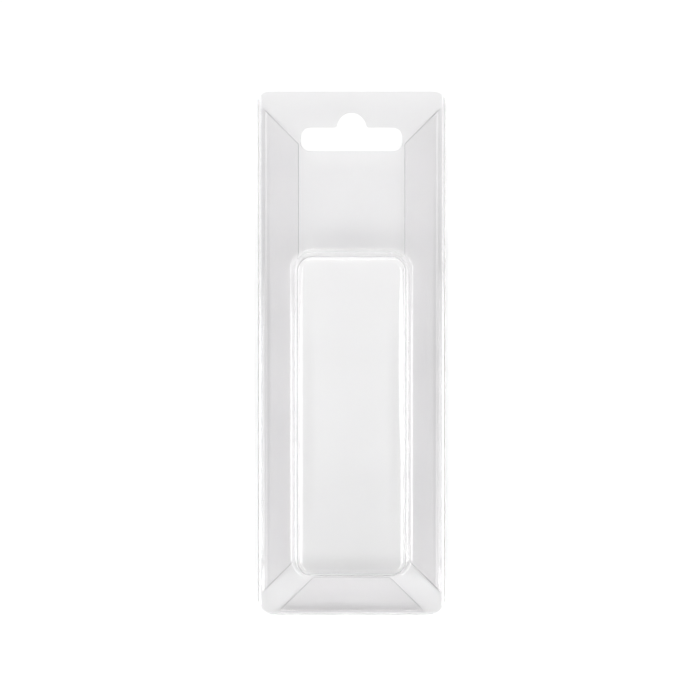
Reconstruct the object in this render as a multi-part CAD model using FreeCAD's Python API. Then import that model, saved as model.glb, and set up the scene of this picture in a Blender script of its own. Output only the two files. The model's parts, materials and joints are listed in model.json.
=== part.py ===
import FreeCAD, Part

import math
import os
from collections import namedtuple

# Clear slide-in blister: one sheet of thin plastic, formed with a raised pocket, punched with a
# hang slot, and folded back along its two sides and its bottom into flanges that hold a card.
# It lies on its folds, pocket up: X across, Y along with the hang slot at +Y, Z out of the front.
# Lengths are millimetres and angles are degrees.

# The sheet, measured to the outside of its folds. The die bevels both rims of the edges it cuts
# on the flanges and in the hang slot.
SHEET_WIDTH = 59.0
SHEET_LENGTH = 165.0
SHEET_THICKNESS = 0.3
TOP_CORNER_RADIUS = 3.6
BOTTOM_CORNER_RADIUS = 5.6
CUT_EDGE_BEVEL = 0.1

# The folds: outer radii of the front, side and back of the roll. The flange then leans back
# towards the sheet, so that its free edge grips the card.
FOLD_FRONT_RADIUS = 1.2
FOLD_SIDE_RADIUS = 1.1
FOLD_SIDE_TURN = 45.0
FOLD_BACK_RADIUS = 4.2
FLANGE_LEAN = 7.0

# The flanges, measured in from the outside of the fold
SIDE_FLANGE_WIDTH = 12.8
BOTTOM_FLANGE_WIDTH = 12.0
FLANGE_MITRE = 45.0

# The pocket: width, length and corner radius where its walls meet the face of the sheet. Forming
# stretches the sheet, so the pocket is thinner than the rest.
POCKET_WIDTH = 36.8
POCKET_LENGTH = 102.7
POCKET_CORNER_RADIUS = 6.0
POCKET_DEPTH = 15.0
POCKET_DRAFT = 6.0
POCKET_THICKNESS = 0.2
POCKET_BASE_RADIUS = 1.2
POCKET_TOP_RADIUS = 2.0
POCKET_TO_BOTTOM_EDGE = 12.3

# The hang slot: a round-ended slot with a hump that centres the peg
SLOT_WIDTH = 32.0
SLOT_HEIGHT = 7.6
SLOT_CORNER_RADIUS = 3.0
SLOT_TO_TOP_EDGE = 11.2
HUMP_RADIUS = 4.7
HUMP_RISE = 4.65
HUMP_FLARE_RADIUS = 1.0

# How far a cutting tool runs past what it cuts
TOOL_OVERRUN = 1.0

# Height of the fold's widest point, with the lowest point of the roll at zero
side_turn = math.radians(FOLD_SIDE_TURN)
FOLD_MIDDLE_Z = FOLD_BACK_RADIUS - (FOLD_BACK_RADIUS - FOLD_SIDE_RADIUS) * math.sin(side_turn)
FACE_Z = FOLD_MIDDLE_Z + FOLD_FRONT_RADIUS
BACK_FACE_Z = FACE_Z - SHEET_THICKNESS
POCKET_TOP_Z = FACE_Z + POCKET_DEPTH
POCKET_CENTRE_Y = -SHEET_LENGTH / 2 + POCKET_TO_BOTTOM_EDGE + POCKET_LENGTH / 2
SLOT_TOP_Y = SHEET_LENGTH / 2 - SLOT_TO_TOP_EDGE

# A bend of the sheet about an axis along Y. Angle 0 faces outward, -90 up and 90 down.
Bend = namedtuple("Bend", "x z radius start end")


def rounded_rectangle(width, length, centre_y, z, bottom_radius, top_radius):
    """Closed wire with a radius on its two bottom corners and another on its two top corners."""
    corners = [
        (width / 2, centre_y - length / 2, bottom_radius, -90),
        (width / 2, centre_y + length / 2, top_radius, 0),
        (-width / 2, centre_y + length / 2, top_radius, 90),
        (-width / 2, centre_y - length / 2, bottom_radius, 180),
    ]
    arcs = []
    for x, y, radius, start in corners:
        centre_x = x - math.copysign(radius, x)
        centre_y_of_arc = y - math.copysign(radius, y - centre_y)
        points = []
        for angle in (start, start + 45, start + 90):
            turn = math.radians(angle)
            offset_x = radius * math.cos(turn)
            offset_y = radius * math.sin(turn)
            points.append(FreeCAD.Vector(centre_x + offset_x, centre_y_of_arc + offset_y, z))
        arcs.append(points)
    edges = []
    for points, next_points in zip(arcs, arcs[1:] + arcs[:1]):
        edges.append(Part.Arc(*points).toShape())
        edges.append(Part.LineSegment(points[-1], next_points[0]).toShape())
    return Part.Wire(edges)


def upright_prism(wire, height):
    """Solid that stands on a closed plan outline."""
    return Part.Face(wire).extrude(FreeCAD.Vector(0, 0, height))


def skin_point(bend, depth, angle):
    """Point of a bend at the given depth inside its outer skin."""
    turn = math.radians(angle)
    radius = bend.radius - depth
    return FreeCAD.Vector(bend.x + radius * math.cos(turn), 0, bend.z - radius * math.sin(turn))


def skin_arc(bend, depth):
    """One skin of a bend, at the given depth inside the outer one."""
    angles = (bend.start, (bend.start + bend.end) / 2, bend.end)
    return Part.Arc(*(skin_point(bend, depth, angle) for angle in angles)).toShape()


def bent_sheet(bends, tail, along_start, along_end):
    """Sheet that follows the bends, runs on straight for the tail, and extends along Y."""
    last = bends[-1]
    turn = math.radians(last.end)
    onward = FreeCAD.Vector(-math.sin(turn), 0, -math.cos(turn)) * tail
    outer_end = skin_point(last, 0, last.end)
    inner_end = skin_point(last, SHEET_THICKNESS, last.end)
    edges = [skin_arc(bend, depth) for depth in (0, SHEET_THICKNESS) for bend in bends]
    ends = [(skin_point(bends[0], 0, bends[0].start), skin_point(bends[0], SHEET_THICKNESS, bends[0].start))]
    if tail:
        ends.append((outer_end, outer_end + onward))
        ends.append((inner_end, inner_end + onward))
    ends.append((outer_end + onward, inner_end + onward))
    edges += [Part.LineSegment(*pair).toShape() for pair in ends]
    section = Part.Face(Part.Wire(Part.__sortEdges__(edges)))
    section.translate(FreeCAD.Vector(0, along_start, 0))
    return section.extrude(FreeCAD.Vector(0, along_end - along_start, 0))


def fold_bends(reach):
    """Front, side and back bends of a fold whose outside is at X = reach."""
    front = Bend(reach - FOLD_FRONT_RADIUS, FOLD_MIDDLE_Z, FOLD_FRONT_RADIUS, -90, 0)
    side = Bend(reach - FOLD_SIDE_RADIUS, FOLD_MIDDLE_Z, FOLD_SIDE_RADIUS, 0, FOLD_SIDE_TURN)
    growth = FOLD_BACK_RADIUS - FOLD_SIDE_RADIUS
    back = Bend(
        side.x - growth * math.cos(side_turn),
        side.z + growth * math.sin(side_turn),
        FOLD_BACK_RADIUS,
        FOLD_SIDE_TURN,
        90 + FLANGE_LEAN,
    )
    return front, side, back


def turned_to_bottom(shape):
    """A shape made for the right-hand side, turned to the bottom edge."""
    shape.rotate(FreeCAD.Vector(0, 0, 0), FreeCAD.Vector(0, 0, 1), -90)
    return shape


def mirrored_left(shape):
    """The left-hand twin of a shape made for the right-hand side."""
    return shape.mirror(FreeCAD.Vector(0, 0, 0), FreeCAD.Vector(1, 0, 0))


def edges_at_height(shape, z):
    """Edges that lie flat at one height."""
    tolerance = SHEET_THICKNESS / 100
    return [
        edge
        for edge in shape.Edges
        if abs(edge.BoundBox.ZMin - z) < tolerance and abs(edge.BoundBox.ZMax - z) < tolerance
    ]


def edges_within(edges, half_width, bottom_y, top_y, margin):
    """Those of the edges that lie inside an upright rectangle on the centre line, or within a margin of it."""
    return [
        edge
        for edge in edges
        if edge.BoundBox.XMax < half_width + margin
        and edge.BoundBox.XMin > -half_width - margin
        and edge.BoundBox.YMax < top_y + margin
        and edge.BoundBox.YMin > bottom_y - margin
    ]


def front_panel():
    """Flat front with its two sides and its bottom rolled over, trimmed to rounded corners."""
    flat_width = SHEET_WIDTH - 2 * FOLD_FRONT_RADIUS
    flat_length = SHEET_LENGTH - FOLD_FRONT_RADIUS
    corner = FreeCAD.Vector(-flat_width / 2, SHEET_LENGTH / 2 - flat_length, BACK_FACE_Z)
    flat = Part.makeBox(flat_width, flat_length, SHEET_THICKNESS, corner)
    side_roll = bent_sheet([fold_bends(SHEET_WIDTH / 2)[0]], 0, -SHEET_LENGTH / 2, SHEET_LENGTH / 2)
    bottom_roll = bent_sheet([fold_bends(SHEET_LENGTH / 2)[0]], 0, -SHEET_WIDTH / 2, SHEET_WIDTH / 2)
    panel = flat.fuse([side_roll, mirrored_left(side_roll), turned_to_bottom(bottom_roll)])
    outline = rounded_rectangle(SHEET_WIDTH, SHEET_LENGTH, 0, 0, BOTTOM_CORNER_RADIUS, TOP_CORNER_RADIUS)
    return panel.common(upright_prism(outline, FACE_Z + TOOL_OVERRUN))


def flange(reach, width, along_start, along_end):
    """Back half of a fold and its flange, with both ends mitred from the fold inward, then bevelled."""
    side, back = fold_bends(reach)[1:]
    strip = bent_sheet([side, back], width, along_start, along_end)
    taper = width * math.tan(math.radians(FLANGE_MITRE))
    corners = [
        (reach, along_start),
        (reach, along_end),
        (reach - width, along_end - taper),
        (reach - width, along_start + taper),
    ]
    points = [FreeCAD.Vector(x, y, -TOOL_OVERRUN) for x, y in corners]
    outline = Part.makePolygon(points + points[:1])
    trimmed = strip.common(upright_prism(outline, FACE_Z + TOOL_OVERRUN))
    rims = [
        edge
        for face in trimmed.Faces
        if isinstance(face.Surface, Part.Plane) and abs(face.Surface.Axis.z) < 0.5
        for edge in face.Edges
        if edge.Length > 2 * SHEET_THICKNESS
    ]
    return trimmed.makeChamfer(CUT_EDGE_BEVEL, rims)


def flanges():
    """The two side flanges and the bottom one."""
    side_start = -SHEET_LENGTH / 2 + BOTTOM_CORNER_RADIUS
    side_end = SHEET_LENGTH / 2 - TOP_CORNER_RADIUS
    right = flange(SHEET_WIDTH / 2, SIDE_FLANGE_WIDTH, side_start, side_end)
    half_bottom = SHEET_WIDTH / 2 - BOTTOM_CORNER_RADIUS
    bottom = flange(SHEET_LENGTH / 2, BOTTOM_FLANGE_WIDTH, -half_bottom, half_bottom)
    return [right, mirrored_left(right), turned_to_bottom(bottom)]


def pocket_block(depth_inside, bottom_z):
    """Drafted block with rounded corners and a rounded top, inset from the pocket's outer skin."""
    draft = math.radians(POCKET_DRAFT)
    top_z = POCKET_TOP_Z - depth_inside
    sections = []
    for z in (bottom_z, top_z):
        inset = depth_inside / math.cos(draft) + (z - FACE_Z) * math.tan(draft)
        radius = POCKET_CORNER_RADIUS - inset
        width = POCKET_WIDTH - 2 * inset
        length = POCKET_LENGTH - 2 * inset
        sections.append(rounded_rectangle(width, length, POCKET_CENTRE_Y, z, radius, radius))
    block = Part.makeLoft(sections, True, True)
    top_edges = edges_at_height(block, top_z)
    return block.makeFillet(POCKET_TOP_RADIUS - depth_inside, top_edges)


def add_pocket(panel):
    """Raise the hollow pocket out of the panel and round its mouth on both faces."""
    outside = pocket_block(0, BACK_FACE_Z)
    inside = pocket_block(POCKET_THICKNESS, BACK_FACE_Z - TOOL_OVERRUN)
    formed = panel.fuse(outside).cut(inside)
    bottom_y = POCKET_CENTRE_Y - POCKET_LENGTH / 2
    top_y = POCKET_CENTRE_Y + POCKET_LENGTH / 2
    for z, radius in ((FACE_Z, POCKET_BASE_RADIUS), (BACK_FACE_Z, POCKET_BASE_RADIUS + POCKET_THICKNESS)):
        mouth = edges_within(
            edges_at_height(formed, z), POCKET_WIDTH / 2, bottom_y, top_y, POCKET_BASE_RADIUS / 2
        )
        formed = formed.makeFillet(radius, mouth)
    return formed


def hang_slot_punch():
    """Solid that punches the hang slot: a slot with a hump, flared where the two meet."""
    bottom_z = BACK_FACE_Z - TOOL_OVERRUN
    height = SHEET_THICKNESS + 2 * TOOL_OVERRUN
    slot_y = SLOT_TOP_Y - SLOT_HEIGHT / 2
    outline = rounded_rectangle(
        SLOT_WIDTH, SLOT_HEIGHT, slot_y, bottom_z, SLOT_CORNER_RADIUS, SLOT_CORNER_RADIUS
    )
    slot = upright_prism(outline, height)
    hump_y = SLOT_TOP_Y + HUMP_RISE - HUMP_RADIUS
    hump = Part.makeCylinder(HUMP_RADIUS, height, FreeCAD.Vector(0, hump_y, bottom_z))
    punch = slot.fuse(hump).removeSplitter()
    notches = [
        edge
        for edge in punch.Edges
        if edge.BoundBox.ZLength > SHEET_THICKNESS
        and abs(edge.BoundBox.Center.y - SLOT_TOP_Y) < SHEET_THICKNESS
        and abs(edge.BoundBox.Center.x) < HUMP_RADIUS + SHEET_THICKNESS
        and edge.BoundBox.XLength < SHEET_THICKNESS
    ]
    return punch.makeFillet(HUMP_FLARE_RADIUS, notches)


def punch_hang_slot(panel):
    """Punch the hang slot out of the panel and bevel its rim on both faces."""
    punched = panel.cut(hang_slot_punch())
    bottom_y = SLOT_TOP_Y - SLOT_HEIGHT
    top_y = SLOT_TOP_Y + HUMP_RISE
    rims = [
        edge
        for z in (FACE_Z, BACK_FACE_Z)
        for edge in edges_within(
            edges_at_height(punched, z), SLOT_WIDTH / 2, bottom_y, top_y, SHEET_THICKNESS
        )
    ]
    return punched.makeChamfer(CUT_EDGE_BEVEL, rims)


def blister_tray():
    """The whole sheet: front panel, pocket, hang slot and flanges in one solid."""
    panel = punch_hang_slot(front_panel())
    formed = add_pocket(panel)
    return formed.fuse(flanges()).removeSplitter()


def main():
    tray = blister_tray()
    if len(tray.Solids) != 1 or not tray.isValid():
        raise RuntimeError("the sheet is not one valid solid")
    os.makedirs("parts", exist_ok=True)
    tray.Solids[0].exportStep("parts/blister_tray.step")
    box = tray.optimalBoundingBox(False)
    print("blister_tray", round(box.XLength, 3), round(box.YLength, 3), round(box.ZLength, 3))
    print("volume", round(tray.Volume, 1), "mm3, lowest point", round(box.ZMin, 4))


main()
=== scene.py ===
# Looks of the clear blister tray: a glossy transparent sheet on a white table, in a white light tent
# with soft boxes, seen from almost straight above.

import json
import math

import bpy
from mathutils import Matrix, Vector


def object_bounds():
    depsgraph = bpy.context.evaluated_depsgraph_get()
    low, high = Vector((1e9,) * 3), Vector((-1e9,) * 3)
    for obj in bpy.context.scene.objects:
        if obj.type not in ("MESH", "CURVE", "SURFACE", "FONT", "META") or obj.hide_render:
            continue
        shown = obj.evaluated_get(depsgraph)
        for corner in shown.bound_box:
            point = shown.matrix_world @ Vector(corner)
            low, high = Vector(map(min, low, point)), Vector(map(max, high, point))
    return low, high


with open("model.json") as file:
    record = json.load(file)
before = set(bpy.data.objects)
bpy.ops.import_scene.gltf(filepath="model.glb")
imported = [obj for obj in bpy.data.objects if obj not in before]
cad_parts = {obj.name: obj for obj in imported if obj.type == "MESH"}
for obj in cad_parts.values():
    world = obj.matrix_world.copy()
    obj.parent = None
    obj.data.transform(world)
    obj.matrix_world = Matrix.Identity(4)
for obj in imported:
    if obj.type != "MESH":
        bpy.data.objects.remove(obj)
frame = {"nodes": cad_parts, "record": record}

cad_low, cad_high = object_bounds()
centre = (cad_low + cad_high) / 2
half_width = (cad_high.x - cad_low.x) / 2
length = cad_high.y - cad_low.y
mounts = {mount["name"]: Vector(mount["pos_m"]) for mount in frame["record"]["mounts"]}
back_face = mounts["card_slide"].z
pocket_top = mounts["pocket_top"]

# The camera, in metres and degrees: it stands over the tray and leans a little towards its top end
CAMERA_HEIGHT = 1.5
CAMERA_LEAN = -2.6
VIEW_WIDTH = 1.339 * length
AIM_RIGHT = -0.0005
AIM_UP = 0.0011

# The clear sheet. Its tint changes with height, as painted light and shade: the panel and the pocket's top
# are greyer than the flanges and the walls. The flanges' tint holds from the lowest point up to the first
# stop, and the last stop blends into the tint of the pocket's top. Stops are (height, colour).
FLANGE_TINT_AND_SHADING = (0.988, 0.984, 0.986, 1.0)
PANEL_TINT_AND_SHADING = (0.926, 0.924, 0.928, 1.0)
WALL_TINT_AND_SHADING = (1.0, 1.0, 1.0, 1.0)
TOP_TINT_AND_SHADING = (0.936, 0.935, 0.937, 1.0)
TINT_AND_SHADING_STOPS = [
    (back_face - 0.0012, FLANGE_TINT_AND_SHADING),
    (back_face - 0.0005, PANEL_TINT_AND_SHADING),
    (back_face + 0.0004, PANEL_TINT_AND_SHADING),
    (back_face + 0.0012, WALL_TINT_AND_SHADING),
    (pocket_top.z - 0.0020, WALL_TINT_AND_SHADING),
]

# Soft spots of painted shade, the same on both sides: centre and radii of an ellipsoid, and the share
# of light taken off there
PAINTED_SHADE_SPOTS = [
    # along the side folds, along the bottom fold, and above the pocket
    (Vector((half_width - 0.0023, 0, back_face / 2)), Vector((0.0024, 0.0950, 0.0040)), 0.06),
    (Vector((0, cad_low.y + 0.0016, back_face / 2)), Vector((0.0600, 0.0032, 0.0040)), 0.05),
    (Vector((0, pocket_top.y + 0.0525, back_face)), Vector((0.0300, 0.0090, 0.0020)), 0.06),
    # on the pocket's top: its lower half, its low end and its long edges
    (Vector((0, pocket_top.y - 0.0550, pocket_top.z)), Vector((0.0400, 0.0600, 0.0060)), 0.06),
    (Vector((0, pocket_top.y - 0.0470, pocket_top.z)), Vector((0.0500, 0.0055, 0.0060)), 0.055),
    (Vector((0.0138, pocket_top.y, pocket_top.z)), Vector((0.0036, 0.0560, 0.0040)), 0.05),
]

# The cut edges of the flanges are darkened with painted shade: the share of light taken off there, and what
# tells them from the rest. They are steeper than this vertical part of a normal, and lie further in than
# the folds reach and further back than the panel.
CUT_EDGE_SHADE = 0.75
STEEP_LIMIT = 0.9
FOLD_DEPTH = 0.0022
PANEL_MARGIN = 0.0002

# Gloss, with faint scuffs where a fine noise is high, and the ripples and uneven tint left by forming
SHEET_IOR = 1.5
SHEET_ROUGHNESS = (0.012, 0.035)
RIPPLE_SIZE = 0.016
RIPPLE_DETAIL = 2.0
RIPPLE_HEIGHT = 0.00002
UNEVEN_SHADE = 0.03
SCUFF_SIZE = RIPPLE_SIZE / 6
SCUFF_DETAIL = 4.0
SCUFF_LEVELS = (0.35, 0.75)

# The round edge of the pocket's top is pressed flatter on one side: its place across and along, half
# its length, and its depth
DENT_MIDDLE = (0.0154, pocket_top.y + 0.0170)
DENT_HALF_LENGTH = 0.0270
DENT_DEPTH = 0.00015
TOP_EDGE_RADIUS = 0.0020

# The table
TABLE_SIZE = 12 * length
TABLE_COLOUR = (0.96, 0.96, 0.96, 1.0)
TABLE_ROUGHNESS = 0.9

# The light. An angle off the vertical is given by its sine. The tent's light changes between two
# angles, and its gap is a disc in the level part of the direction.
LIGHT_STRENGTH = 0.92
TENT_LIGHT = (0.64, 0.40)
TENT_CHANGE = (0.25, 0.50)
GAP_CENTRE = Vector((0, -0.115, 0))
GAP_RADIUS = 0.127
GAP_EDGE = 0.003
GAP_LIGHT = 0.1

# Soft boxes: start and end of the angle off the vertical, start and end along +Y as a share of the
# level part of the direction, and strength. Each box has its twin on the other side of the tray.
SOFT_BOXES = [
    (0.29, 0.56, -0.38, 0.38, 3.0),
    (0.62, 0.94, -0.25, -0.045, 6.0),
    (0.62, 0.80, -0.88, -0.25, 4.6),
    (0.835, 0.865, 0.90, 1.10, 20.0),
]
BOX_EDGE = 0.015
BOX_END = 0.012

# How many times light may pass through and off the sheet's skins
MOST_BOUNCES = 24


def fill(tree, socket, value):
    """Link a socket to another one, or set its value."""
    if isinstance(value, bpy.types.NodeSocket):
        tree.links.new(value, socket)
    else:
        socket.default_value = value


def add_node(tree, kind, operation=None, **settings):
    """New node in a tree. A setting is an input, given by its name, that takes a socket or a value."""
    node = tree.nodes.new(kind)
    if operation:
        node.operation = operation
    for name, value in settings.items():
        fill(tree, node.inputs[name.replace("_", " ")], value)
    return node


def math_node(tree, operation, *values):
    """Result of one sum between sockets or numbers."""
    node = add_node(tree, "ShaderNodeMath", operation)
    for socket, value in zip(node.inputs, values):
        fill(tree, socket, value)
    return node.outputs["Value"]


def vector_node(tree, operation, *values):
    """Node for one sum between vectors."""
    node = add_node(tree, "ShaderNodeVectorMath", operation)
    for socket, value in zip(node.inputs, values):
        fill(tree, socket, value)
    return node


def ramp_up(tree, value, start, end, low=0.0, high=1.0):
    """Smooth change from low to high while the value goes from start to end."""
    limits = {"From_Min": start, "From_Max": end, "To_Min": low, "To_Max": high}
    node = add_node(tree, "ShaderNodeMapRange", Value=value, **limits)
    node.interpolation_type = "SMOOTHSTEP"
    return node.outputs["Result"]


def noise(tree, position, size, detail):
    """Cloudy pattern of the given grain size in metres, from 0 to 1."""
    node = add_node(tree, "ShaderNodeTexNoise", Vector=position, Scale=1 / size, Detail=detail)
    return node.outputs["Fac"]


def separate(tree, vector):
    """X, Y and Z of a vector."""
    return add_node(tree, "ShaderNodeSeparateXYZ", Vector=vector).outputs


def soft_spot(tree, position, middle, radii):
    """Share from 1 at the middle of an ellipsoid to 0 at its surface."""
    offset = vector_node(tree, "SUBTRACT", position, middle).outputs["Vector"]
    share = vector_node(tree, "DIVIDE", offset, radii).outputs["Vector"]
    distance = vector_node(tree, "LENGTH", share).outputs["Value"]
    return ramp_up(tree, distance, 1.0, 0.0)


def tint_and_shading_by_height(tree, height):
    """Tint of the sheet with its painted light and shade, from the stops, at a height above the table."""
    share = add_node(tree, "ShaderNodeMapRange", Value=height, From_Min=cad_low.z, From_Max=cad_high.z)
    ramp = add_node(tree, "ShaderNodeValToRGB", Fac=share.outputs["Result"])
    stops = ramp.color_ramp.elements
    stops[0].color = FLANGE_TINT_AND_SHADING
    stops[1].color = TOP_TINT_AND_SHADING
    for level, shaded_tint in TINT_AND_SHADING_STOPS:
        stops.new((level - cad_low.z) / (cad_high.z - cad_low.z)).color = shaded_tint
    return ramp.outputs["Color"]


def cut_edges(tree, position):
    """1 on the cut edges of the flanges, which are steep faces behind the panel and inside the folds."""
    normal = tree.nodes.new("ShaderNodeNewGeometry").outputs["True Normal"]
    flatness = math_node(tree, "ABSOLUTE", separate(tree, normal)[2])
    steep = math_node(tree, "LESS_THAN", flatness, STEEP_LIMIT)
    across, along, height = separate(tree, position)
    from_side = math_node(tree, "SUBTRACT", half_width, math_node(tree, "ABSOLUTE", across))
    from_bottom = math_node(tree, "SUBTRACT", along, cad_low.y)
    from_edge = math_node(tree, "MINIMUM", from_side, from_bottom)
    inside_folds = math_node(tree, "GREATER_THAN", from_edge, FOLD_DEPTH)
    behind = math_node(tree, "LESS_THAN", height, back_face - PANEL_MARGIN)
    return math_node(tree, "MULTIPLY", steep, math_node(tree, "MULTIPLY", inside_folds, behind))


def sheet_tint_and_painted_shade(tree, position):
    """Tint by height with its painted light and shade, less the painted shade of the soft spots and the cut
    edges, and the uneven tone of the sheet.
    """
    across, along, height = separate(tree, position)
    from_middle = math_node(tree, "ABSOLUTE", across)
    one_side = add_node(tree, "ShaderNodeCombineXYZ", X=from_middle, Y=along, Z=height).outputs["Vector"]
    uneven_tone_and_painted_shade = math_node(tree, "MULTIPLY", noise(tree, position, RIPPLE_SIZE, RIPPLE_DETAIL), UNEVEN_SHADE)
    # Painted shade on the cut edges, then on each soft spot
    uneven_tone_and_painted_shade = math_node(tree, "MULTIPLY_ADD", cut_edges(tree, position), CUT_EDGE_SHADE, uneven_tone_and_painted_shade)
    for middle, radii, depth in PAINTED_SHADE_SPOTS:
        uneven_tone_and_painted_shade = math_node(tree, "MULTIPLY_ADD", soft_spot(tree, one_side, middle, radii), depth, uneven_tone_and_painted_shade)
    passed = math_node(tree, "SUBTRACT", 1.0, uneven_tone_and_painted_shade)
    shaded_tint = tint_and_shading_by_height(tree, height)
    scaled = add_node(tree, "ShaderNodeVectorMath", "SCALE", Vector=shaded_tint, Scale=passed)
    return scaled.outputs["Vector"]


def dent(tree, position):
    """Depth of the flatter place on the pocket's edge: a trough that narrows towards both its ends.

    Across, it cancels the roundness of the edge, whose height falls by the square over twice the radius.
    """
    across, along, height = separate(tree, position)
    middle_across, middle_along = DENT_MIDDLE
    off_middle = math_node(tree, "SUBTRACT", across, middle_across)
    square = math_node(tree, "MULTIPLY", off_middle, off_middle)
    rise = math_node(tree, "MULTIPLY", square, 0.5 / TOP_EDGE_RADIUS)
    share = math_node(tree, "DIVIDE", math_node(tree, "SUBTRACT", along, middle_along), DENT_HALF_LENGTH)
    floor = math_node(tree, "SUBTRACT", 1.0, math_node(tree, "MULTIPLY", share, share))
    depth = math_node(tree, "SUBTRACT", math_node(tree, "MULTIPLY", floor, DENT_DEPTH), rise)
    near_top = math_node(tree, "GREATER_THAN", height, pocket_top.z - 1.5 * TOP_EDGE_RADIUS)
    return math_node(tree, "MULTIPLY", math_node(tree, "MAXIMUM", depth, 0.0), near_top)


def clear_sheet_material():
    """Clear glossy plastic with slight ripples from forming, faint scuffs in its gloss, and painted light
    and shade in its colour.
    """
    material = bpy.data.materials.new("clear_sheet")
    material.use_nodes = True
    tree = material.node_tree
    shader = tree.nodes["Principled BSDF"]
    position = tree.nodes.new("ShaderNodeTexCoord").outputs["Object"]
    ripples = math_node(tree, "MULTIPLY", noise(tree, position, RIPPLE_SIZE, RIPPLE_DETAIL), RIPPLE_HEIGHT)
    relief = math_node(tree, "SUBTRACT", ripples, dent(tree, position))
    ripple = add_node(tree, "ShaderNodeBump", Height=relief, Distance=1.0)
    scuffs = ramp_up(tree, noise(tree, position, SCUFF_SIZE, SCUFF_DETAIL), *SCUFF_LEVELS, *SHEET_ROUGHNESS)
    tree.links.new(ripple.outputs["Normal"], shader.inputs["Normal"])
    tree.links.new(scuffs, shader.inputs["Roughness"])
    tree.links.new(sheet_tint_and_painted_shade(tree, position), shader.inputs["Base Color"])
    shader.inputs["IOR"].default_value = SHEET_IOR
    shader.inputs["Transmission Weight"].default_value = 1.0
    return material


def table():
    """Plain white table that the tray lies on."""
    half = TABLE_SIZE / 2
    corners = [(-half, -half, 0), (half, -half, 0), (half, half, 0), (-half, half, 0)]
    mesh = bpy.data.meshes.new("table")
    mesh.from_pydata(corners, [], [(0, 1, 2, 3)])
    surface = bpy.data.objects.new("table", mesh)
    surface.location.z = cad_low.z
    bpy.context.collection.objects.link(surface)
    material = bpy.data.materials.new("table_white")
    material.use_nodes = True
    shader = material.node_tree.nodes["Principled BSDF"]
    shader.inputs["Base Color"].default_value = TABLE_COLOUR
    shader.inputs["Roughness"].default_value = TABLE_ROUGHNESS
    shader.inputs["Specular IOR Level"].default_value = 0.0
    mesh.materials.append(material)


def band(tree, value, start, end, edge):
    """Share of light, which is 1 while the value is between start and end and fades at both."""
    fade_in = ramp_up(tree, value, start - edge, start + edge)
    fade_out = ramp_up(tree, value, end + edge, end - edge)
    return math_node(tree, "MULTIPLY", fade_in, fade_out)


def studio_light():
    """White tent with a dark gap overhead for the camera, and soft boxes that shine through it."""
    world = bpy.data.worlds.new("studio")
    world.use_nodes = True
    bpy.context.scene.world = world
    tree = world.node_tree
    direction = tree.nodes.new("ShaderNodeTexCoord").outputs["Generated"]
    level = vector_node(tree, "MULTIPLY", direction, Vector((1, 1, 0))).outputs["Vector"]
    slant = vector_node(tree, "LENGTH", level).outputs["Value"]
    along = separate(tree, direction)[1]
    lengthways = math_node(tree, "DIVIDE", along, slant)
    from_gap = vector_node(tree, "DISTANCE", level, GAP_CENTRE).outputs["Value"]
    opened = ramp_up(tree, from_gap, GAP_RADIUS - GAP_EDGE, GAP_RADIUS + GAP_EDGE)
    tent = math_node(tree, "MULTIPLY", opened, ramp_up(tree, slant, *TENT_CHANGE, *TENT_LIGHT))
    radiance = math_node(tree, "MAXIMUM", tent, GAP_LIGHT)
    for slant_start, slant_end, along_start, along_end, strength in SOFT_BOXES:
        across_box = band(tree, slant, slant_start, slant_end, BOX_EDGE)
        along_box = band(tree, lengthways, along_start, along_end, BOX_END)
        box = math_node(tree, "MULTIPLY", across_box, along_box)
        radiance = math_node(tree, "MULTIPLY_ADD", box, strength, radiance)
    background = tree.nodes["Background"]
    tree.links.new(radiance, background.inputs["Color"])
    background.inputs["Strength"].default_value = LIGHT_STRENGTH


def camera():
    """Camera over the tray, with the hang slot up in the picture."""
    data = bpy.data.cameras.new("camera")
    data.lens = data.sensor_width * CAMERA_HEIGHT / VIEW_WIDTH
    lean = math.radians(CAMERA_LEAN)
    away = Vector((0, -math.sin(lean), math.cos(lean)))
    aim = Vector((centre.x + AIM_RIGHT, centre.y + AIM_UP, cad_low.z))
    stand = bpy.data.objects.new("camera", data)
    stand.location = aim + away * CAMERA_HEIGHT
    stand.rotation_euler = (lean, 0, 0)
    bpy.context.collection.objects.link(stand)
    bpy.context.scene.camera = stand


def colour_handling():
    """Plain colours, and enough bounces for light to pass through and off the clear sheet."""
    scene = bpy.context.scene
    scene.view_settings.view_transform = "Standard"
    scene.cycles.max_bounces = MOST_BOUNCES
    scene.cycles.transmission_bounces = MOST_BOUNCES
    scene.cycles.blur_glossy = 0.0


def main():
    """Dress the tray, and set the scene."""
    material = clear_sheet_material()
    for node in frame["nodes"].values():
        for slot in node.material_slots:
            slot.material = material
    table()
    studio_light()
    camera()
    colour_handling()


main()
